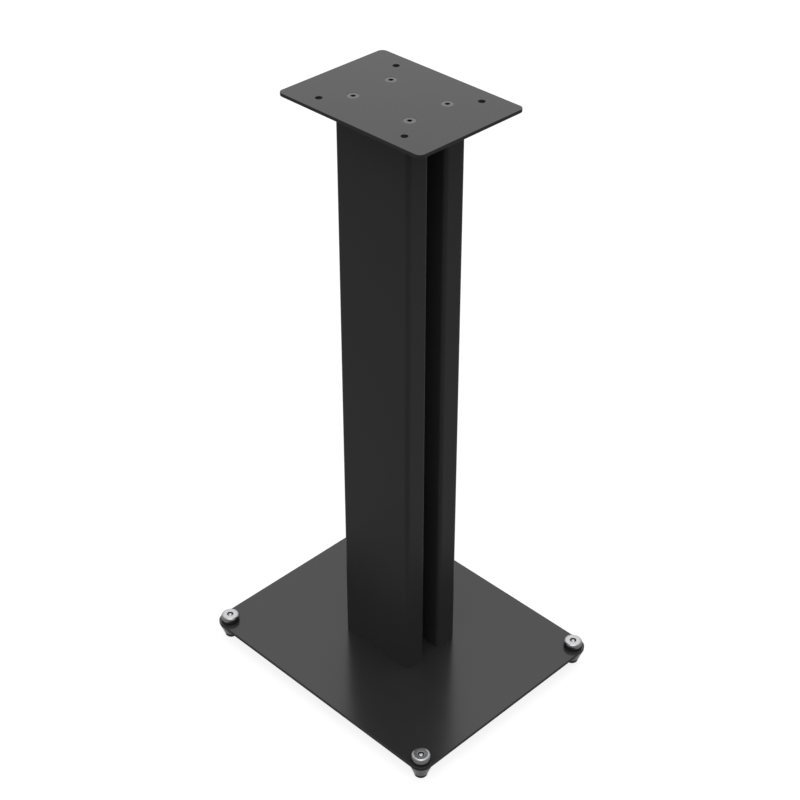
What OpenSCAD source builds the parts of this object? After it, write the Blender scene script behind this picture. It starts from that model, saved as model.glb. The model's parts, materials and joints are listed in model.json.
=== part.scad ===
// Speaker stand: two flat tubes between a top plate and a base plate, on four levelling feet.
// Millimetres, +Z up, front towards -Y. The origin is on the floor, midway between the feet.

/* [Top plate] */
// Width of the top plate, side to side
top_w = 127; // [112:1:250]
// Depth of the top plate, front to back
top_d = 172; // [120:1:300]
// Thickness of the top plate
top_t = 3.2; // [3:0.1:8]
// Corner radius of the top plate
top_corner_r = 6; // [1:0.5:12]
// Diameter of the holes for the speaker's bolts
speaker_hole_d = 6.5; // [4:0.1:9]
// Distance between the speaker's bolts, side to side
speaker_hole_gap_x = 93; // [78:1:98]
// Distance between the speaker's bolts, front to back
speaker_hole_gap_y = 103; // [20:1:108]

/* [Tubes] */
// Width of one tube, side to side
tube_w = 25; // [20:0.5:32]
// Depth of one tube, front to back
tube_d = 90; // [84:1:140]
// Length of the tubes, from plate to plate
tube_len = 607; // [200:1:1000]
// Outer corner radius of a tube
tube_corner_r = 4; // [3:0.5:8]
// Wall of a tube
tube_wall = 2; // [1:0.1:2.5]
// Open slot between the two tubes
tube_gap = 20.5; // [4:0.5:22]
// Thickness of the block welded into each end of a tube
block_t = 10; // [6:0.5:30]

/* [Plate screws] */
// Thread diameter of the plate screws
screw_d = 6; // [4:0.5:6.5]
// Length of a plate screw, head included
screw_len = 12; // [8:1:25]
// Diameter of the countersunk head
screw_head_d = 11.3; // [8:0.1:11.5]
// Size of the hex key for the plate screws, across flats
screw_hex = 4; // [2:0.5:5]
// Depth of the hex socket in a plate screw
screw_hex_depth = 2.2; // [1:0.1:3]
// Distance between the two screws in one tube end
screw_spacing = 68; // [30:1:70]

/* [Base plate] */
// Width of the base plate, side to side
base_w = 250; // [160:1:500]
// Depth of the base plate, front to back
base_d = 307; // [200:1:500]
// Thickness of the base plate
base_t = 3.5; // [3:0.1:10]
// Corner radius of the base plate
base_corner_r = 12; // [1:1:18]
// Distance of each foot's axis from the two edges beside it
foot_inset = 12; // [11:1:40]

/* [Levelling feet] */
// Height of the base plate's underside above the floor, with the feet screwed right in
foot_h = 17.2; // [16.5:0.1:40]
// Thread diameter of the foot stud
stud_d = 6; // [5:0.5:6.5]
// Diameter of the foot cone at the plate
cone_top_d = 23.8; // [18:0.2:30]
// Diameter of the foot cone at its lower end
cone_end_d = 15; // [12:0.2:18]
// Diameter of the soft sole near the floor
sole_d = 12.6; // [10:0.1:14]
// Height of the soft sole, from the floor to the foot cone
sole_t = 5; // [3:0.1:6]
// Diameter of the lock cap
cap_d = 19; // [17:0.5:24]
// Height of the lock cap above its washer
cap_h = 6; // [4.5:0.1:12]
// Radius of the rounded edge round the top of the lock cap
cap_round = 2.7; // [0.5:0.1:3]
// Diameter of the washer under the lock cap
washer_d = 17.5; // [12:0.5:18.5]
// Thickness of the washer under the lock cap
washer_t = 1.5; // [0.5:0.1:3]

/* [Hidden] */
$fn = 96;

// Overrun of every cut past the face that it opens
overrun = 1;
// Colours of the powder-coated steel, the bright metal and the soft parts
coat_colour = [0.16, 0.16, 0.17];
bright_colour = [0.80, 0.80, 0.82];
steel_colour = [0.55, 0.55, 0.57];
cone_colour = [0.36, 0.36, 0.37];
soft_colour = [0.08, 0.08, 0.08];

// Radial clearance between a screw thread and its nut thread
thread_clear = 0.05;

// Levels of the stack, from the floor up
base_z = foot_h;
column_z = base_z + base_t;
column_top_z = column_z + tube_len;
stand_h = column_top_z + top_t;

// Places of the tubes and of the foot axes
tube_x = (tube_gap + tube_w) / 2;
foot_x = base_w / 2 - foot_inset;
foot_y = base_d / 2 - foot_inset;
tube_inner_r = tube_corner_r - tube_wall;

// Plate screws: the head's face lies a little below the plate's face
head_sink = 0.15;
screw_play = 0.2;
screw_hole_d = screw_d + 2 * screw_play;
screw_head_h = (screw_head_d - screw_d) / 2;
screw_tip = 0.8;

// Threaded bush: a spigot in the base plate's hole and a collar under the plate
bush_wall = 1.5;
bush_collar_wall = 3;
bush_collar_h = 4;
bush_spigot_d = stud_d + 2 * bush_wall;
bush_collar_d = stud_d + 2 * bush_collar_wall;

// Sole: a tapered tip with a stem and a bead that snap into the cone
sole_edge = 1;
sole_step = 0.1;
sole_top_d = cone_end_d - 2 * sole_step;
stem_d = 5;
stem_h = 3.2;
bead_d = 6;
bead_h = 1.2;
sole_clear = 0.3;

// Cone: a counterbore that clears the bush's collar, and a web above the sole's chamber
collar_clear = 0.35;
collar_end_clear = 0.5;
cone_web = 1;
stem_bore_h = stem_h + sole_clear;
counterbore_h = bush_collar_h + collar_end_clear;

// Stud: the tip of its rounded end lies just below the cap's face
stud_z = sole_t + stem_bore_h + cone_web;
stud_sink = 0.1;
stud_end_z = column_z + washer_t + cap_h - stud_sink;
stud_dome_h = 1.7;

// Lock cap: a spigot holds the washer, and a countersink opens the thread
cap_spigot_wall = 1.5;
cap_spigot_gap = 0.2;
cap_spigot_d = stud_d + 2 * cap_spigot_wall;
cap_spigot_h = washer_t - cap_spigot_gap;
cap_sink = 0.4;
washer_clear = 0.08;

// Flat shapes

module rounded_rect(w, d, r) {
    square([w - 2 * r, d], center = true);
    square([w, d - 2 * r], center = true);
    for (x = [-1, 1], y = [-1, 1])
        translate([x * (w / 2 - r), y * (d / 2 - r)])
            circle(r);
}

// Half of a disc's section, with its upper edge rounded
module round_topped_half(r, h, edge_r) {
    square([r - edge_r, h]);
    square([r, h - edge_r]);
    translate([r - edge_r, h - edge_r])
        circle(edge_r);
}

// Places that repeat

module at_speaker_holes() {
    for (x = [-1, 1], y = [-1, 1])
        translate([x * speaker_hole_gap_x / 2, y * speaker_hole_gap_y / 2, 0])
            children();
}

module at_tube_screws() {
    for (y = [-1, 1])
        translate([0, y * screw_spacing / 2, 0])
            children();
}

module at_plate_screws() {
    for (x = [-1, 1])
        translate([x * tube_x, 0, 0])
            at_tube_screws()
                children();
}

module at_left_tube() {
    translate([-tube_x, 0, column_z])
        children();
}

module at_right_tube() {
    translate([tube_x, 0, column_z])
        children();
}

module at_front_left() {
    translate([-foot_x, -foot_y, 0])
        children();
}

module at_front_right() {
    translate([foot_x, -foot_y, 0])
        children();
}

module at_rear_left() {
    translate([-foot_x, foot_y, 0])
        children();
}

module at_rear_right() {
    translate([foot_x, foot_y, 0])
        children();
}

// Plates

// Hole for one plate screw, from a face at z = 0 downwards through a plate of thickness t
module screw_hole(t) {
    rim_r = screw_head_d / 2 + head_sink;
    hole_r = screw_hole_d / 2;
    translate([0, 0, -t - overrun])
        cylinder(h = t + 2 * overrun, r = hole_r);
    translate([0, 0, hole_r - rim_r])
        cylinder(h = rim_r - hole_r + overrun, r1 = hole_r, r2 = rim_r + overrun);
}

module top_plate() {
    color(coat_colour)
        difference() {
            translate([0, 0, column_top_z])
                linear_extrude(top_t)
                    rounded_rect(top_w, top_d, top_corner_r);
            translate([0, 0, column_top_z - overrun])
                at_speaker_holes()
                    cylinder(h = top_t + 2 * overrun, d = speaker_hole_d);
            translate([0, 0, stand_h])
                at_plate_screws()
                    screw_hole(top_t);
        }
}

module base_plate() {
    color(coat_colour)
        difference() {
            translate([0, 0, base_z])
                linear_extrude(base_t)
                    rounded_rect(base_w, base_d, base_corner_r);
            for (x = [-foot_x, foot_x], y = [-foot_y, foot_y])
                translate([x, y, base_z - overrun])
                    cylinder(h = base_t + 2 * overrun, d = bush_spigot_d);
            translate([0, 0, base_z])
                mirror([0, 0, 1])
                    at_plate_screws()
                        screw_hole(base_t);
        }
}

// Tubes and their end blocks

module tube() {
    color(coat_colour)
        linear_extrude(tube_len)
            difference() {
                rounded_rect(tube_w, tube_d, tube_corner_r);
                rounded_rect(tube_w - 2 * tube_wall, tube_d - 2 * tube_wall, tube_inner_r);
            }
}

// Block that fills the end of a tube, tapped for the plate screws
module end_block() {
    color(steel_colour)
        difference() {
            linear_extrude(block_t)
                rounded_rect(tube_w - 2 * tube_wall, tube_d - 2 * tube_wall, tube_inner_r);
            translate([0, 0, -overrun])
                at_tube_screws()
                    cylinder(h = block_t + 2 * overrun, d = screw_d + 2 * thread_clear);
        }
}

module top_end_block() {
    translate([0, 0, tube_len - block_t])
        end_block();
}

// Plate screws

// Countersunk screw with its head's face at z = 0, pointing down
module countersunk_screw() {
    difference() {
        union() {
            translate([0, 0, -screw_head_h])
                cylinder(h = screw_head_h, d1 = screw_d, d2 = screw_head_d);
            translate([0, 0, screw_tip - screw_len])
                cylinder(h = screw_len - screw_tip - screw_head_h, d = screw_d);
            translate([0, 0, -screw_len])
                cylinder(h = screw_tip, d1 = screw_d - 2 * screw_tip, d2 = screw_d);
        }
        translate([0, 0, -screw_hex_depth])
            cylinder(h = screw_hex_depth + overrun, d = screw_hex / cos(30), $fn = 6);
    }
}

module top_plate_screws() {
    color(steel_colour)
        translate([0, 0, stand_h - head_sink])
            at_plate_screws()
                countersunk_screw();
}

module base_plate_screws() {
    color(steel_colour)
        translate([0, 0, base_z + head_sink])
            mirror([0, 0, 1])
                at_plate_screws()
                    countersunk_screw();
}

// Levelling foot, on its own axis

module bush() {
    color(steel_colour)
        difference() {
            union() {
                translate([0, 0, base_z - bush_collar_h])
                    cylinder(h = bush_collar_h, d = bush_collar_d);
                translate([0, 0, base_z])
                    cylinder(h = base_t, d = bush_spigot_d);
            }
            translate([0, 0, base_z - bush_collar_h - overrun])
                cylinder(h = bush_collar_h + base_t + 2 * overrun, d = stud_d + 2 * thread_clear);
        }
}

module stud() {
    dome_r = (pow(stud_d / 2, 2) + pow(stud_dome_h, 2)) / (2 * stud_dome_h);
    color(bright_colour)
        intersection() {
            translate([0, 0, stud_z])
                cylinder(h = stud_end_z - stud_z, d = stud_d);
            union() {
                translate([0, 0, stud_end_z - dome_r])
                    sphere(dome_r);
                translate([0, 0, stud_z - overrun])
                    cylinder(h = stud_end_z - stud_dome_h - stud_z + overrun, d = stud_d + 2 * overrun);
            }
        }
}

module foot_cone() {
    bead_z = sole_t + stem_h - bead_h - sole_clear;
    color(cone_colour)
        difference() {
            translate([0, 0, sole_t])
                cylinder(h = base_z - sole_t, d1 = cone_end_d, d2 = cone_top_d);
            translate([0, 0, base_z - counterbore_h])
                cylinder(h = counterbore_h + overrun, d = bush_collar_d + 2 * collar_clear);
            translate([0, 0, stud_z])
                cylinder(h = base_z - stud_z, d = stud_d);
            translate([0, 0, sole_t - overrun])
                cylinder(h = stem_bore_h + overrun, d = stem_d + 2 * sole_clear);
            translate([0, 0, bead_z])
                cylinder(h = bead_h + 2 * sole_clear, d = bead_d + 2 * sole_clear);
        }
}

module sole() {
    color(soft_colour) {
        cylinder(h = sole_edge, d1 = sole_d - 2 * sole_edge, d2 = sole_d);
        translate([0, 0, sole_edge])
            cylinder(h = sole_t - sole_edge, d1 = sole_d, d2 = sole_top_d);
        translate([0, 0, sole_t])
            cylinder(h = stem_h, d = stem_d);
        translate([0, 0, sole_t + stem_h - bead_h])
            cylinder(h = bead_h, d = bead_d);
    }
}

module washer() {
    color(soft_colour)
        translate([0, 0, column_z])
            difference() {
                cylinder(h = washer_t, d = washer_d);
                translate([0, 0, -overrun])
                    cylinder(h = washer_t + 2 * overrun, d = cap_spigot_d + 2 * washer_clear);
            }
}

module lock_cap() {
    bore_r = stud_d / 2 + thread_clear;
    seat_z = column_z + washer_t;
    color(bright_colour)
        difference() {
            union() {
                translate([0, 0, seat_z - cap_spigot_h])
                    cylinder(h = cap_spigot_h, d = cap_spigot_d);
                translate([0, 0, seat_z])
                    rotate_extrude()
                        round_topped_half(cap_d / 2, cap_h, cap_round);
            }
            translate([0, 0, column_z])
                cylinder(h = washer_t + cap_h + overrun, r = bore_r);
            translate([0, 0, seat_z + cap_h - cap_sink])
                cylinder(h = cap_sink + overrun, r1 = bore_r, r2 = bore_r + cap_sink + overrun);
        }
}

top_plate();
base_plate();
at_left_tube() tube();  // left_tube
at_right_tube() tube();  // right_tube
at_left_tube() top_end_block();  // left_tube_top_block
at_right_tube() top_end_block();  // right_tube_top_block
at_left_tube() end_block();  // left_tube_bottom_block
at_right_tube() end_block();  // right_tube_bottom_block
top_plate_screws();
base_plate_screws();
at_front_left() bush();  // front_left_bush
at_front_left() stud();  // front_left_stud
at_front_left() foot_cone();  // front_left_foot_cone
at_front_left() sole();  // front_left_sole
at_front_left() washer();  // front_left_washer
at_front_left() lock_cap();  // front_left_lock_cap
at_front_right() bush();  // front_right_bush
at_front_right() stud();  // front_right_stud
at_front_right() foot_cone();  // front_right_foot_cone
at_front_right() sole();  // front_right_sole
at_front_right() washer();  // front_right_washer
at_front_right() lock_cap();  // front_right_lock_cap
at_rear_left() bush();  // rear_left_bush
at_rear_left() stud();  // rear_left_stud
at_rear_left() foot_cone();  // rear_left_foot_cone
at_rear_left() sole();  // rear_left_sole
at_rear_left() washer();  // rear_left_washer
at_rear_left() lock_cap();  // rear_left_lock_cap
at_rear_right() bush();  // rear_right_bush
at_rear_right() stud();  // rear_right_stud
at_rear_right() foot_cone();  // rear_right_foot_cone
at_rear_right() sole();  // rear_right_sole
at_rear_right() washer();  // rear_right_washer
at_rear_right() lock_cap();  // rear_right_lock_cap
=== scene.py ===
import json
import math

import bmesh
import bpy
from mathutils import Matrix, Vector


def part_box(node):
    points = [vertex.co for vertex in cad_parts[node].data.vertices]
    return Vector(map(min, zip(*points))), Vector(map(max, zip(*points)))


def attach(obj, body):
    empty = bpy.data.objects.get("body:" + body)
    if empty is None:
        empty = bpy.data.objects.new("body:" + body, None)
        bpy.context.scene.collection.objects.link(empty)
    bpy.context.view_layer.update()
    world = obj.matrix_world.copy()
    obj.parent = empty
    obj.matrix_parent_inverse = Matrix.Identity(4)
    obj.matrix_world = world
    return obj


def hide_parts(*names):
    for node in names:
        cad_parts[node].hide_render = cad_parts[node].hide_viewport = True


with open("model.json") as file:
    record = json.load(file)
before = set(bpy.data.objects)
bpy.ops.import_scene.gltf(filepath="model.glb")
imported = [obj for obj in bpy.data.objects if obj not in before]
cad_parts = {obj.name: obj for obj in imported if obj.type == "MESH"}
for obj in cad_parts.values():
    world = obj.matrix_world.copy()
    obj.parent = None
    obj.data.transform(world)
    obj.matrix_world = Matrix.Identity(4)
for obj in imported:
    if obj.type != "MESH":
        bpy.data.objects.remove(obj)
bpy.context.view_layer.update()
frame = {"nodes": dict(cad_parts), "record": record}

MM = 0.001
NODES = frame["nodes"]
FEET = ("front_left", "front_right", "rear_left", "rear_right")

# Camera, worked out from the photograph's parallel edges
CAMERA_FROM_PLATE = Vector((-0.95793, -0.95774, 1.24826))
CAMERA_AZIMUTH = -45.002
CAMERA_ELEVATION = 35.048
CAMERA_LENS = 78.084
CAMERA_SENSOR = 36.0
CAMERA_REACH = 100.0

# Light levels, where 1 is white
SKY_LEVEL = 0.72
GLOW_LEVEL = 0.96
GLOW_ELEVATION = 60.0
GLOW_INNER = 12.0
GLOW_OUTER = 32.0
SOFTBOX_LEVEL = 2.3
SOFTBOX_WIDTH = 2.4
SOFTBOX_DEPTH = 2.4
SOFTBOX_DISTANCE = 3.4
SOFTBOX_ELEVATION = 74.0

# Floor
FLOOR_SIZE = 30.0
FLOOR_COLOUR = 0.20
FLOOR_LIFT = 0.85

# How finely edges and round shapes are drawn
ROUND_STEPS = 4
ROUND_STEP = 0.25 * MM
CIRCLE_COUNT = 96
CORNER_COUNT = 16
EDGE_ROUND = 0.3 * MM
FINE_ROUND = 0.12 * MM

# A face is steep where the upward part of its normal is below this; steep faces take a darker copy
# of their material, as painted shade
STEEP = 0.72

# Finishes: how light the colour is, how much it reflects, and the range of its roughness
COAT_IOR = 1.53
COAT_UNEVEN = 0.07
SATIN_LEVEL = 0.021
SATIN_GLOSS = 0.398
SATIN_ROUGHNESS = (0.20, 0.23)
# The side shade coat is a less reflective copy of the same black coat, put on steep faces and the
# tubes as painted shade.
SIDE_SHADE_LEVEL = 0.027
SIDE_SHADE_GLOSS = 0.035
SIDE_SHADE_ROUGHNESS = (0.34, 0.40)
SCREW_LEVEL = 0.15
# A darker copy of the screw steel for the socket walls, as painted shade in the recess.
SOCKET_SHADE_LEVEL = 0.03
SCREW_UNEVEN = 0.12
SCREW_ROUGHNESS = (0.28, 0.36)
ZINC_TONES = ((0.38, 0.38, 0.39), (0.48, 0.48, 0.50))
ZINC_ROUGHNESS = (0.32, 0.46)
# Chrome tones: the dark one on slopes and walls, the light one where it lies flat, as painted shade
# from the dark surroundings they reflect.
CHROME_TONES = ((0.13, 0.13, 0.133), (0.45, 0.45, 0.46))
CHROME_ROUGHNESS = (0.28, 0.30)
SLOPE_SHADE_START = 0.58
SLOPE_SHADE_FULL = 0.98
# The cones' dark colour is painted shade, standing in for the shaded floor that they reflect.
CONE_TONES = ((0.044, 0.044, 0.045), (0.054, 0.054, 0.055))
CONE_ROUGHNESS = (0.30, 0.38)
SOLE_TONES = ((0.010,) * 3, (0.018,) * 3)
WASHER_TONES = ((0.010,) * 3, (0.016,) * 3)
RUBBER_GLOSS = 0.15
RUBBER_ROUGHNESS = (0.62, 0.78)

# Plates
TOP_CORNER_R = 6.0 * MM
BASE_CORNER_R = 12.0 * MM
SPEAKER_BOLTS = frame["record"]["mounts"][0]["dims"]
SCREW_HOLE_R = 3.2 * MM
SCREW_RIM_R = 5.8 * MM
SCREW_SPACING = 68.0 * MM
SPIGOT_R = 4.5 * MM

# Plate screws
SCREW_R = 3.0 * MM
SCREW_HEAD_R = 5.65 * MM
SCREW_TIP = 0.8 * MM
SCREW_HEX = 4.0 * MM
SCREW_HEX_DEPTH = 2.2 * MM

# Levelling feet
STUD_R = 3.0 * MM
STUD_DOME = 1.7 * MM
THREAD_R = 3.05 * MM
CAP_ROUND = 2.7 * MM
CAP_SPIGOT = 1.3 * MM
CAP_SINK = 0.4 * MM
WASHER_HOLE_R = 4.58 * MM
CONE_END_R = 7.5 * MM
CONE_TOP_R = 11.9 * MM
CONE_COUNTERBORE_R = 6.35 * MM
CONE_COUNTERBORE = 4.5 * MM
CONE_WEB = 1.0 * MM
SOLE_R = 6.3 * MM
SOLE_EDGE = 1.0 * MM
SOLE_DISC = 5.0 * MM
STEM_R = 2.5 * MM
BEAD_R = 3.0 * MM
BEAD = 1.2 * MM
SOLE_CLEAR = 0.3 * MM


# Node helpers

def start_material(name):
    """A node material with one Principled shader: the material, its tree and the shader."""
    material = bpy.data.materials.new(name)
    material.use_nodes = True
    return material, material.node_tree, material.node_tree.nodes["Principled BSDF"]


def coordinates(tree, kind="Object"):
    return tree.nodes.new("ShaderNodeTexCoord").outputs[kind]


def noise(tree, vector, scale, detail=2.0, roughness=0.5):
    node = tree.nodes.new("ShaderNodeTexNoise")
    node.inputs["Scale"].default_value = scale
    node.inputs["Detail"].default_value = detail
    node.inputs["Roughness"].default_value = roughness
    tree.links.new(vector, node.inputs["Vector"])
    return node.outputs["Fac"]


def spread(tree, value, low, high, start=0.3, end=0.7):
    """Maps a value between start and end to a value between low and high."""
    node = tree.nodes.new("ShaderNodeMapRange")
    node.inputs["From Min"].default_value = start
    node.inputs["From Max"].default_value = end
    node.inputs["To Min"].default_value = low
    node.inputs["To Max"].default_value = high
    tree.links.new(value, node.inputs["Value"])
    return node.outputs["Result"]


def tone(tree, value, dark, light):
    """Maps a value to a colour between two colours."""
    node = tree.nodes.new("ShaderNodeMix")
    node.data_type = "RGBA"
    node.inputs["A"].default_value = (*dark, 1.0)
    node.inputs["B"].default_value = (*light, 1.0)
    tree.links.new(value, node.inputs["Factor"])
    return node.outputs["Result"]


def shades(level, share):
    """Two greys, one darker and one lighter than the level by this share of it."""
    return (level * (1 - share),) * 3, (level * (1 + share),) * 3


def bump(tree, shader, height, depth, strength=1.0):
    node = tree.nodes.new("ShaderNodeBump")
    node.inputs["Distance"].default_value = depth
    node.inputs["Strength"].default_value = strength
    tree.links.new(height, node.inputs["Height"])
    tree.links.new(node.outputs["Normal"], shader.inputs["Normal"])


def turned_lines(tree, count, bands):
    """Fine lathe lines: rings round the piece's own upright axis, or bands up its side."""
    centre = tree.nodes.new("ShaderNodeVectorMath")
    centre.operation = "SUBTRACT"
    centre.inputs[1].default_value = (0.5, 0.5, 0.0)
    tree.links.new(coordinates(tree, "Generated"), centre.inputs[0])
    wave = tree.nodes.new("ShaderNodeTexWave")
    wave.wave_type = "BANDS" if bands else "RINGS"
    wave.bands_direction = "Z"
    wave.rings_direction = "Z"
    wave.inputs["Scale"].default_value = count
    wave.inputs["Distortion"].default_value = 1.5
    wave.inputs["Detail"].default_value = 2.0
    tree.links.new(centre.outputs["Vector"], wave.inputs["Vector"])
    return wave.outputs["Fac"]


# Materials

def black_coat(name, level, gloss, roughness):
    """Black powder coat: an even black with a fine orange peel."""
    material, tree, shader = start_material(name)
    place = coordinates(tree)
    patches = noise(tree, place, scale=14.0, detail=3.0)
    peel = noise(tree, place, scale=900.0, detail=3.0, roughness=0.6)
    tree.links.new(tone(tree, patches, *shades(level, COAT_UNEVEN)), shader.inputs["Base Color"])
    tree.links.new(spread(tree, patches, *roughness), shader.inputs["Roughness"])
    shader.inputs["IOR"].default_value = COAT_IOR
    shader.inputs["Specular IOR Level"].default_value = gloss
    bump(tree, shader, peel, depth=0.02 * MM, strength=0.2)
    return material


def zinc_steel():
    """Dull zinc plate on the parts inside."""
    material, tree, shader = start_material("bare_steel")
    grain = noise(tree, coordinates(tree), scale=220.0, detail=4.0)
    shader.inputs["Metallic"].default_value = 1.0
    tree.links.new(tone(tree, grain, *ZINC_TONES), shader.inputs["Base Color"])
    tree.links.new(spread(tree, grain, *ZINC_ROUGHNESS), shader.inputs["Roughness"])
    bump(tree, shader, grain, depth=0.02 * MM, strength=0.4)
    return material


def screw_steel(name, level):
    """Satin plated steel of the plate screws, or a darker copy of it on the socket walls as painted
    shade in the recess.
    """
    material, tree, shader = start_material(name)
    grain = noise(tree, coordinates(tree), scale=700.0, detail=3.0)
    shader.inputs["Metallic"].default_value = 1.0
    tree.links.new(tone(tree, grain, *shades(level, SCREW_UNEVEN)), shader.inputs["Base Color"])
    tree.links.new(spread(tree, grain, *SCREW_ROUGHNESS), shader.inputs["Roughness"])
    bump(tree, shader, grain, depth=0.01 * MM, strength=0.3)
    return material


def chrome():
    """Turned metal of the studs and lock caps: bright where it lies flat, and darker on slopes and
    walls as painted shade, standing in for the dark surroundings they reflect.
    """
    material, tree, shader = start_material("chrome")
    slope = tree.nodes.new("ShaderNodeSeparateXYZ")
    tree.links.new(coordinates(tree, "Normal"), slope.inputs[0])
    slope_shade = spread(tree, slope.outputs["Z"], 0.0, 1.0, SLOPE_SHADE_START, SLOPE_SHADE_FULL)
    rings = turned_lines(tree, count=26.0, bands=False)
    haze = noise(tree, coordinates(tree), scale=240.0, detail=3.0)
    shader.inputs["Metallic"].default_value = 1.0
    tree.links.new(tone(tree, slope_shade, *CHROME_TONES), shader.inputs["Base Color"])
    tree.links.new(spread(tree, haze, *CHROME_ROUGHNESS), shader.inputs["Roughness"])
    bump(tree, shader, rings, depth=0.001 * MM, strength=0.1)
    return material


def cone_metal():
    """Satin metal of the foot cones, turned on a lathe, kept dark as painted shade: its colour
    stands in for the shaded floor that the cone reflects.
    """
    material, tree, shader = start_material("cone_metal")
    lines = turned_lines(tree, count=30.0, bands=True)
    haze = noise(tree, coordinates(tree), scale=160.0, detail=3.0)
    shader.inputs["Metallic"].default_value = 1.0
    tree.links.new(tone(tree, haze, *CONE_TONES), shader.inputs["Base Color"])
    tree.links.new(spread(tree, haze, *CONE_ROUGHNESS), shader.inputs["Roughness"])
    bump(tree, shader, lines, depth=0.004 * MM, strength=0.3)
    return material


def rubber(name, tones):
    """Matt rubber with a fine grain."""
    material, tree, shader = start_material(name)
    grain = noise(tree, coordinates(tree), scale=1300.0, detail=4.0, roughness=0.6)
    tree.links.new(tone(tree, grain, *tones), shader.inputs["Base Color"])
    tree.links.new(spread(tree, grain, *RUBBER_ROUGHNESS), shader.inputs["Roughness"])
    shader.inputs["Specular IOR Level"].default_value = RUBBER_GLOSS
    bump(tree, shader, grain, depth=0.02 * MM, strength=0.5)
    return material


# Outlines: points in a plate's plane, anticlockwise, each with the direction that it moves out in

def circle_outline(x, y):
    """A point at the centre for each direction, so that the distance out is the radius."""
    turns = (2 * math.pi * index / CIRCLE_COUNT for index in range(CIRCLE_COUNT))
    return [(Vector((x, y)), Vector((math.cos(a), math.sin(a)))) for a in turns]


def rounded_outline(width, depth, radius):
    outline = []
    for quarter, (x, y) in enumerate(((1, 1), (-1, 1), (-1, -1), (1, -1))):
        centre = Vector((x * (width / 2 - radius), y * (depth / 2 - radius)))
        for index in range(CORNER_COUNT + 1):
            a = math.pi / 2 * (quarter + index / CORNER_COUNT)
            out = Vector((math.cos(a), math.sin(a)))
            outline.append((centre + out * radius, out))
    return outline


def hexagon_outline(x, y, across_flats):
    """The outline of a hex key, with the directions of its flats."""
    outline = []
    for index in range(CIRCLE_COUNT):
        a = 2 * math.pi * index / CIRCLE_COUNT
        flat = math.pi / 3 * (math.floor(a / (math.pi / 3)) + 0.5)
        reach = across_flats / 2 / math.cos(a - flat)
        place = Vector((x + math.cos(a) * reach, y + math.sin(a) * reach))
        outline.append((place, Vector((math.cos(flat), math.sin(flat)))))
    return outline


# Sections: (out, up) lines that go anticlockwise round the solid

def rounded_corner(here, before, after, rounding):
    """Points along the arc between a corner's two legs, each with the way the line runs there."""
    reach = min(rounding, before.length / 2, after.length / 2)
    before, after = before.normalized(), after.normalized()
    centre = (before + after) * (reach / (1 + before.dot(after)))
    first, last = before * reach - centre, after * reach - centre
    turn = math.pi - before.angle(after)
    count = ROUND_STEPS + int(reach / ROUND_STEP)
    spots = []
    for step in range(count + 1):
        gone = turn * step / count
        left = turn - gone
        spoke = (first * math.sin(left) + last * math.sin(gone)) / math.sin(turn)
        spots.append((here + centre + spoke, last * math.cos(gone) - first * math.cos(left)))
    return spots


def section(corners, closed=False):
    """Rounds each corner (out, up, rounding), and says which way the surface faces there."""
    spots = []
    for index, (out, up, rounding) in enumerate(corners):
        here = Vector((out, up))
        before = Vector(corners[index - 1][:2]) - here
        after = Vector(corners[(index + 1) % len(corners)][:2]) - here
        if not closed and index == 0:
            spots.append((here, after))
        elif not closed and index == len(corners) - 1:
            spots.append((here, -before))
        else:
            spots += rounded_corner(here, before, after, rounding)
    return [(place, Vector((way.y, -way.x)).normalized()) for place, way in spots]


class Skin:
    """A surface sewn from rings of points that know which way their surface faces."""

    def __init__(self):
        self.mesh = bmesh.new()
        self.facing = []

    def ring(self, outline, place, faces):
        """One ring, or one point where the ring has no radius."""
        if place.x == 0 and outline[0][0] == outline[1][0]:
            outline = outline[:1]
            faces = Vector((0.0, faces.y))
        ring = []
        for spot, out in outline:
            flat = spot + out * place.x
            ring.append(self.mesh.verts.new((flat.x, flat.y, place.y)))
            self.facing.append((out.x * faces.x, out.y * faces.x, faces.y))
        return ring

    def sew(self, first, second):
        """Faces between two rings, either of which may be a single point."""
        count = max(len(first), len(second))
        for index in range(count):
            after = (index + 1) % count
            corners = [first[index % len(first)]]
            if len(first) > 1:
                corners.append(first[after])
            corners.append(second[after % len(second)])
            if len(second) > 1:
                corners.append(second[index])
            self.mesh.faces.new(corners)

    def sweep(self, outline, line, closed=False):
        """Sweeps a section round an outline, and gives back the first ring and the last."""
        rings = [self.ring(outline, place, faces) for place, faces in line]
        for first, second in zip(rings, rings[1:]):
            self.sew(first, second)
        if closed:
            self.sew(rings[-1], rings[0])
        return rings[0], rings[-1]

    def fill(self, rings, up):
        """A flat face between rings that already have their own edges."""
        edges = []
        for ring in rings:
            pairs = zip(ring, ring[1:] + ring[:1])
            edges += [self.mesh.edges.get(pair) or self.mesh.edges.new(pair) for pair in pairs]
        bmesh.ops.triangle_fill(self.mesh, use_beauty=True, edges=edges, normal=(0.0, 0.0, up))

    def piece(self, node, material, body, slot_name, shaded_side_material=None):
        """Makes the piece that stands for a CAD node, with shaded_side_material, a darker copy of
        its material as painted shade, on its steep faces.
        """
        self.mesh.normal_update()
        for face in self.mesh.faces:
            face.material_index = int(shaded_side_material is not None and abs(face.normal.z) < STEEP)
        mesh = bpy.data.meshes.new(node + "_form")
        self.mesh.to_mesh(mesh)
        self.mesh.free()
        mesh.shade_smooth()
        mesh.normals_split_custom_set_from_vertices(self.facing)
        mesh.materials.append(material)
        if shaded_side_material is not None:
            mesh.materials.append(shaded_side_material)
        piece = bpy.data.objects.new(node + "_form", mesh)
        bpy.context.scene.collection.objects.link(piece)
        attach(piece, body)
        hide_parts(node)


# Plates

def at_corners(x, y):
    return [(sx * x, sy * y) for sx in (-1, 1) for sy in (-1, 1)]


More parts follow.
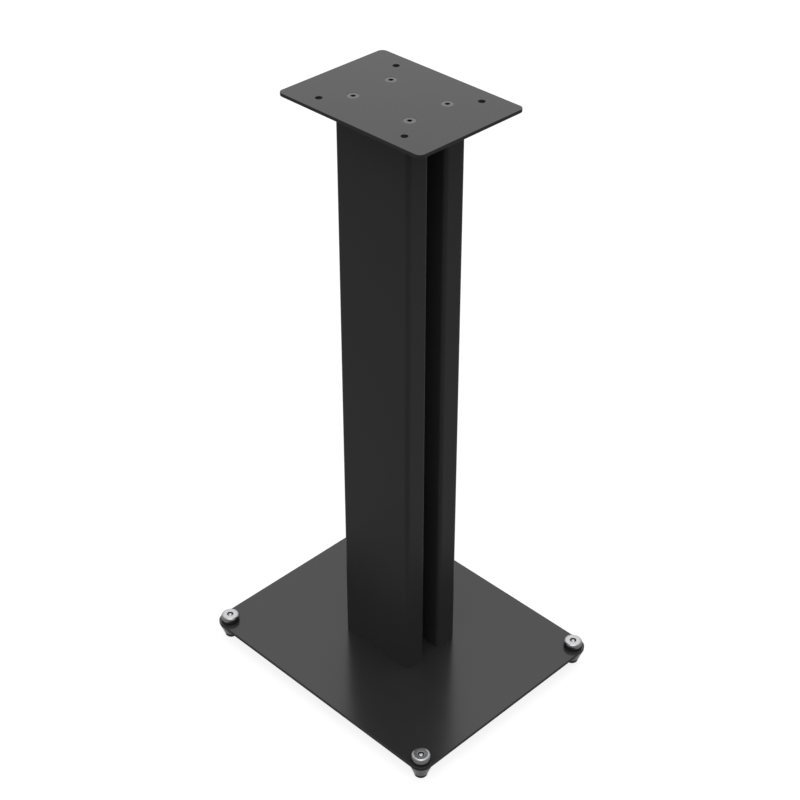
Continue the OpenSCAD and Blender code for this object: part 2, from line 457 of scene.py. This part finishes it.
def plate_skin(node, corner_r, bores, up):
    """A rounded plate with bores (x, y, radius, rim radius), countersunk from above if up."""
    low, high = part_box(node)
    size = high - low
    skin = Skin()
    outline = rounded_outline(size.x, size.y, corner_r)
    edge = section([
        (-2 * EDGE_ROUND, low.z, 0),
        (0.0, low.z, EDGE_ROUND),
        (0.0, high.z, EDGE_ROUND),
        (-2 * EDGE_ROUND, high.z, 0),
    ])
    below, above = skin.sweep(outline, edge)
    rims_below, rims_above = [below], [above]
    for x, y, radius, rim in bores:
        rim = max(rim, radius)
        sunk = rim - radius
        top_r, bottom_r = (rim, radius) if up else (radius, rim)
        corners = [(top_r + 2 * FINE_ROUND, high.z, 0), (top_r, high.z, FINE_ROUND)]
        if sunk > 0:
            corners.append((radius, high.z - sunk if up else low.z + sunk, FINE_ROUND))
        corners += [(bottom_r, low.z, FINE_ROUND), (bottom_r + 2 * FINE_ROUND, low.z, 0)]
        top, bottom = skin.sweep(circle_outline(x, y), section(corners))
        rims_above.append(top)
        rims_below.append(bottom)
    skin.fill(rims_above, 1.0)
    skin.fill(rims_below, -1.0)
    return skin


def build_plates(coat, edge_shade_coat):
    tube_x = (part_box("right_tube")[0].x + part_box("right_tube")[1].x) / 2
    screws = at_corners(tube_x, SCREW_SPACING / 2)
    bolts = at_corners(
        SPEAKER_BOLTS["spacing_x_mm"] / 2 * MM,
        SPEAKER_BOLTS["spacing_y_mm"] / 2 * MM,
    )
    bolt_r = SPEAKER_BOLTS["hole_r_mm"] * MM
    foot_low, foot_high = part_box("rear_right_stud")
    feet = at_corners((foot_low.x + foot_high.x) / 2, (foot_low.y + foot_high.y) / 2)

    screw_bores = [(x, y, SCREW_HOLE_R, SCREW_RIM_R) for x, y in screws]
    bolt_bores = [(x, y, bolt_r, 0) for x, y in bolts]
    foot_bores = [(x, y, SPIGOT_R, 0) for x, y in feet]
    top = plate_skin("top_plate", TOP_CORNER_R, screw_bores + bolt_bores, up=True)
    top.piece("top_plate", coat, "stand", "black_coat", edge_shade_coat)
    base = plate_skin("base_plate", BASE_CORNER_R, screw_bores + foot_bores, up=False)
    base.piece("base_plate", coat, "stand", "black_coat", edge_shade_coat)


# Plate screws

def add_screw(skin, x, y, face_z, end_z):
    """A countersunk hex-socket screw, from its head's face to its end, either way up."""
    way = 1.0 if face_z > end_z else -1.0
    head_z = face_z - way * (SCREW_HEAD_R - SCREW_R)
    corners = [
        (0.0, end_z, 0),
        (SCREW_R - SCREW_TIP, end_z, FINE_ROUND),
        (SCREW_R, end_z + way * SCREW_TIP, FINE_ROUND),
        (SCREW_R, head_z, FINE_ROUND),
        (SCREW_HEAD_R, face_z, FINE_ROUND),
        (SCREW_HEAD_R - 3 * FINE_ROUND, face_z, 0),
    ]
    socket_z = face_z - way * SCREW_HEX_DEPTH
    socket = [
        (3 * FINE_ROUND, face_z, 0),
        (0.0, face_z, FINE_ROUND),
        (0.0, socket_z, 0),
    ]
    if way < 0:
        corners.reverse()
        socket.reverse()
    rings = skin.sweep(circle_outline(x, y), section(corners))
    walls = skin.sweep(hexagon_outline(x, y, SCREW_HEX), section(socket))
    rim, mouth = (rings[-1], walls[0]) if way > 0 else (rings[0], walls[-1])
    skin.fill([rim, mouth], way)
    floor = skin.ring(hexagon_outline(x, y, SCREW_HEX), Vector((0.0, socket_z)), Vector((0.0, way)))
    skin.fill([floor], way)


def build_screws(steel, socket_shade_steel):
    for node, head_up in (("top_plate_screws", True), ("base_plate_screws", False)):
        low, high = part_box(node)
        face_z, end_z = (high.z, low.z) if head_up else (low.z, high.z)
        skin = Skin()
        for x, y in at_corners(high.x - SCREW_HEAD_R, high.y - SCREW_HEAD_R):
            add_screw(skin, x, y, face_z, end_z)
        skin.piece(node, steel, "stand", "screw_steel", socket_shade_steel)


# Levelling feet

def turned_piece(node, corners, closed, material, body, slot_name):
    """A turned piece on its node's own axis."""
    low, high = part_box(node)
    skin = Skin()
    axis = circle_outline((low.x + high.x) / 2, (low.y + high.y) / 2)
    skin.sweep(axis, section(corners, closed), closed)
    skin.piece(node, material, body, slot_name)


def lock_cap(foot, material):
    node = foot + "_lock_cap"
    low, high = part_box(node)
    cap_r = (high.x - low.x) / 2
    seat_z = low.z + CAP_SPIGOT
    corners = [
        (THREAD_R, low.z, FINE_ROUND),
        (SPIGOT_R, low.z, FINE_ROUND),
        (SPIGOT_R, seat_z, FINE_ROUND),
        (cap_r, seat_z, EDGE_ROUND),
        (cap_r, high.z, CAP_ROUND),
        (THREAD_R + CAP_SINK, high.z, FINE_ROUND),
        (THREAD_R, high.z - CAP_SINK, FINE_ROUND),
    ]
    turned_piece(node, corners, True, material, foot + "_cap_body", "chrome")


def stud(foot, material):
    node = foot + "_stud"
    low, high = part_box(node)
    dome_r = (STUD_R**2 + STUD_DOME**2) / (2 * STUD_DOME)
    half = math.asin(STUD_R / dome_r)
    corners = [(0.0, low.z, 0), (STUD_R, low.z, FINE_ROUND)]
    for index in range(ROUND_STEPS + 1):
        a = half * (1 - index / ROUND_STEPS)
        out = math.sin(a) * dome_r if a else 0.0
        corners.append((out, high.z - dome_r * (1 - math.cos(a)), STUD_R))
    turned_piece(node, corners, False, material, foot + "_stud_body", "chrome")


def foot_cone(foot, material):
    node = foot + "_foot_cone"
    low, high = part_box(node)
    bead_low = low.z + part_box(foot + "_sole")[1].z - SOLE_DISC - BEAD - SOLE_CLEAR
    bead_high = bead_low + BEAD + 2 * SOLE_CLEAR
    web_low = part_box(foot + "_stud")[0].z - CONE_WEB
    web_high = web_low + CONE_WEB
    stem_r, bead_r = STEM_R + SOLE_CLEAR, BEAD_R + SOLE_CLEAR
    corners = [
        (0.0, web_low, 0),
        (bead_r, web_low, FINE_ROUND),
        (bead_r, bead_low, FINE_ROUND),
        (stem_r, bead_low, FINE_ROUND),
        (stem_r, low.z, FINE_ROUND),
        (CONE_END_R, low.z, EDGE_ROUND),
        (CONE_TOP_R, high.z, EDGE_ROUND),
        (CONE_COUNTERBORE_R, high.z, FINE_ROUND),
        (CONE_COUNTERBORE_R, high.z - CONE_COUNTERBORE, FINE_ROUND),
        (STUD_R, high.z - CONE_COUNTERBORE, FINE_ROUND),
        (STUD_R, web_high, FINE_ROUND),
        (0.0, web_high, 0),
    ]
    turned_piece(node, corners, False, material, foot + "_stud_body", "cone_metal")


def sole(foot, material):
    node = foot + "_sole"
    low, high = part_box(node)
    top_r = (high.x - low.x) / 2
    corners = [
        (0.0, low.z, 0),
        (SOLE_R - SOLE_EDGE, low.z, EDGE_ROUND),
        (SOLE_R, low.z + SOLE_EDGE, EDGE_ROUND),
        (top_r, low.z + SOLE_DISC, FINE_ROUND),
        (STEM_R, low.z + SOLE_DISC, FINE_ROUND),
        (STEM_R, high.z - BEAD, FINE_ROUND),
        (BEAD_R, high.z - BEAD, FINE_ROUND),
        (BEAD_R, high.z, FINE_ROUND),
        (0.0, high.z, 0),
    ]
    turned_piece(node, corners, False, material, foot + "_sole_body", "sole_rubber")


def washer(foot, material):
    node = foot + "_washer"
    low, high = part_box(node)
    washer_r = (high.x - low.x) / 2
    corners = [
        (WASHER_HOLE_R, low.z, FINE_ROUND),
        (washer_r, low.z, FINE_ROUND),
        (washer_r, high.z, FINE_ROUND),
        (WASHER_HOLE_R, high.z, FINE_ROUND),
    ]
    turned_piece(node, corners, True, material, foot + "_washer_body", "washer_rubber")


def build_feet():
    bright = chrome()
    cone = cone_metal()
    soft = rubber("sole_rubber", SOLE_TONES)
    seal = rubber("washer_rubber", WASHER_TONES)
    for foot in FEET:
        lock_cap(foot, bright)
        stud(foot, bright)
        foot_cone(foot, cone)
        sole(foot, soft)
        washer(foot, seal)


# Pieces that keep the shape of their CAD nodes

def dress(node, material):
    for slot in NODES[node].material_slots:
        slot.material = material


def dress_nodes(coat):
    inside = zinc_steel()
    for side in ("left", "right"):
        # The tubes take the less reflective copy of the coat, as painted shade on their sides.
        dress(f"{side}_tube", coat)
        for end in ("top", "bottom"):
            dress(f"{side}_tube_{end}_block", inside)
    for foot in FEET:
        dress(f"{foot}_bush", inside)


# Surroundings

def toward(azimuth, elevation):
    """The direction from the stand to a place at these angles in degrees."""
    turn, rise = math.radians(azimuth), math.radians(elevation)
    flat = math.cos(rise)
    return Vector((math.sin(turn) * flat, -math.cos(turn) * flat, math.sin(rise)))


def larger(tree, first, second):
    node = tree.nodes.new("ShaderNodeMath")
    node.operation = "MAXIMUM"
    tree.links.new(first, node.inputs[0])
    tree.links.new(second, node.inputs[1])
    return node.outputs["Value"]


def seen_as_background(tree):
    """A factor that is 1 for the camera and for reflections, and 0 for light on the object."""
    rays = tree.nodes.new("ShaderNodeLightPath").outputs
    mirrored = larger(tree, rays["Is Glossy Ray"], rays["Is Transmission Ray"])
    return larger(tree, rays["Is Camera Ray"], mirrored)


def build_world():
    """Soft white light all round, as in a light tent, brighter high up behind the stand."""
    world = bpy.data.worlds.new("studio")
    world.use_nodes = True
    world.cycles.sampling_method = "NONE"
    tree = world.node_tree
    background = tree.nodes["Background"]
    background.inputs["Color"].default_value = (1.0, 1.0, 1.0, 1.0)
    near = tree.nodes.new("ShaderNodeVectorMath")
    near.operation = "DOT_PRODUCT"
    near.inputs[1].default_value = toward(CAMERA_AZIMUTH + 180.0, GLOW_ELEVATION)
    tree.links.new(coordinates(tree, "Generated"), near.inputs[0])
    outer, inner = math.cos(math.radians(GLOW_OUTER)), math.cos(math.radians(GLOW_INNER))
    lit = spread(tree, near.outputs["Value"], SKY_LEVEL, SKY_LEVEL + GLOW_LEVEL, outer, inner)
    tree.links.new(larger(tree, lit, seen_as_background(tree)), background.inputs["Strength"])
    bpy.context.scene.world = world


def build_floor():
    """Plain floor that shows white, in reflections too, and holds the stand's soft shadow."""
    half = FLOOR_SIZE / 2
    mesh = bpy.data.meshes.new("floor")
    corners = [(-half, -half, 0), (half, -half, 0), (half, half, 0), (-half, half, 0)]
    mesh.from_pydata(corners, [], [(0, 1, 2, 3)])
    floor = bpy.data.objects.new("floor", mesh)
    bpy.context.scene.collection.objects.link(floor)
    material, tree, shader = start_material("floor")
    shader.inputs["Base Color"].default_value = (FLOOR_COLOUR,) * 3 + (1.0,)
    shader.inputs["Roughness"].default_value = 1.0
    shader.inputs["Specular IOR Level"].default_value = 0.0
    shader.inputs["Emission Color"].default_value = (1.0, 1.0, 1.0, 1.0)
    lift = spread(tree, seen_as_background(tree), 0.0, FLOOR_LIFT, 0.0, 1.0)
    tree.links.new(lift, shader.inputs["Emission Strength"])
    mesh.materials.append(material)


def build_softbox():
    """A large soft lamp high up in front, for the bright rims of the caps."""
    light = bpy.data.lights.new("softbox", "AREA")
    light.shape = "RECTANGLE"
    light.size = SOFTBOX_WIDTH
    light.size_y = SOFTBOX_DEPTH
    light.energy = SOFTBOX_LEVEL * math.pi * SOFTBOX_WIDTH * SOFTBOX_DEPTH
    lamp = bpy.data.objects.new("softbox", light)
    away = toward(CAMERA_AZIMUTH, SOFTBOX_ELEVATION)
    lamp.location = away * SOFTBOX_DISTANCE
    lamp.rotation_euler = (-away).to_track_quat("-Z", "Y").to_euler()
    bpy.context.scene.collection.objects.link(lamp)


def build_camera():
    data = bpy.data.cameras.new("camera")
    data.sensor_width = CAMERA_SENSOR
    data.lens = CAMERA_LENS
    data.clip_end = CAMERA_REACH
    camera = bpy.data.objects.new("camera", data)
    plate_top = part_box("base_plate")[1].z
    camera.location = CAMERA_FROM_PLATE + Vector((0.0, 0.0, plate_top))
    camera.rotation_euler = (
        math.radians(90.0 - CAMERA_ELEVATION),
        0.0,
        math.radians(CAMERA_AZIMUTH),
    )
    bpy.context.scene.collection.objects.link(camera)
    bpy.context.scene.camera = camera


satin_coat = black_coat("black_coat", SATIN_LEVEL, SATIN_GLOSS, SATIN_ROUGHNESS)
# A less reflective copy of the coat for steep faces and the tubes, as painted shade.
side_shade_coat = black_coat("side_shade_coat", SIDE_SHADE_LEVEL, SIDE_SHADE_GLOSS, SIDE_SHADE_ROUGHNESS)
build_plates(satin_coat, side_shade_coat)
# The socket walls get the darker steel as painted shade.
build_screws(screw_steel("screw_steel", SCREW_LEVEL), screw_steel("screw_socket_shade", SOCKET_SHADE_LEVEL))
build_feet()
dress_nodes(side_shade_coat)
build_world()
build_floor()
build_softbox()
build_camera()
bpy.context.scene.view_settings.view_transform = "Standard"
